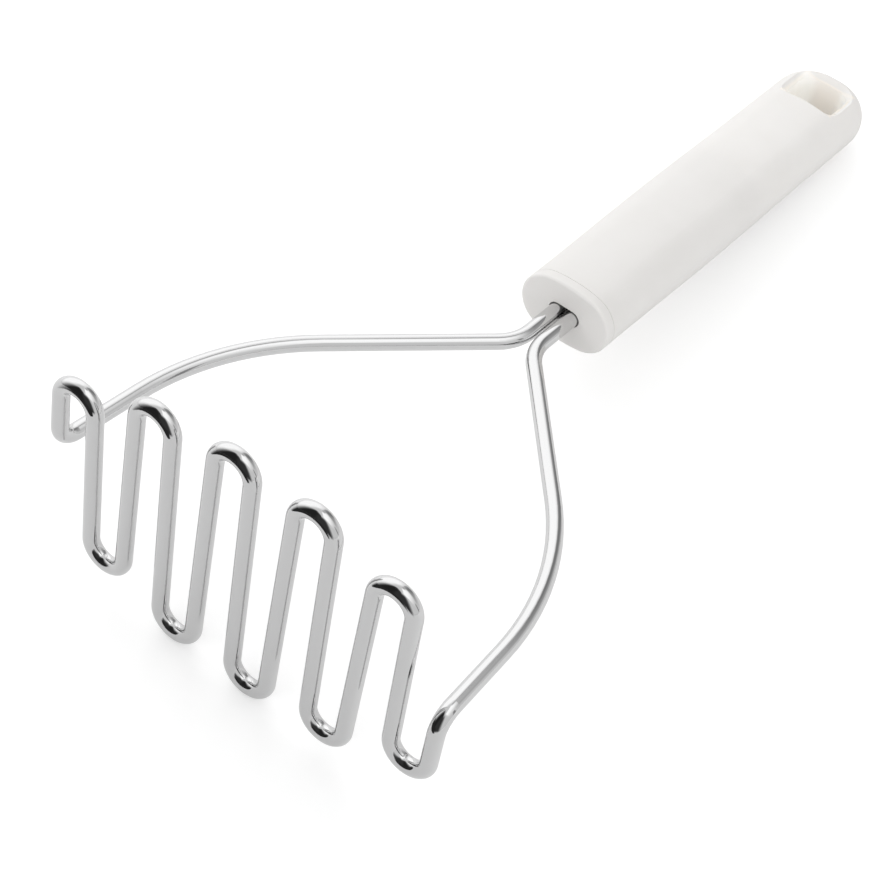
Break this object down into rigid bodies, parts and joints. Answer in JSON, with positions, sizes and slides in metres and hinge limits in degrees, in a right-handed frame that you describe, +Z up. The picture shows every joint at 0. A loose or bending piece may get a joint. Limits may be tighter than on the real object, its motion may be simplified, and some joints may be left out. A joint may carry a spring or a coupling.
{
  "type": "potato masher",
  "caption": "Hand potato masher: a polished steel wire bent back and forth into an oval pressing face, with two shoulders meeting in a rounded white plastic handle with a hanging eye.",
  "frame": {"origin": "centre of the bounding box on the surface that the masher lies on", "axes": "+X along the handle from the wire head to the tail, +Y across the wire face, +Z up from the surface"},
  "size_m": [0.2622, 0.115, 0.0719],
  "materials": {
    "polished_wire": "mirror polished stainless steel wire",
    "white_plastic": "satin moulded white plastic",
    "core_plastic": "plain moulded plastic, hidden in the handle"
  },
  "bodies": {
    "root": {"masher_wire": "polished_wire", "handle_shell": "white_plastic", "end_collar": "white_plastic", "wire_core": "core_plastic"}
  },
  "joints": []
}
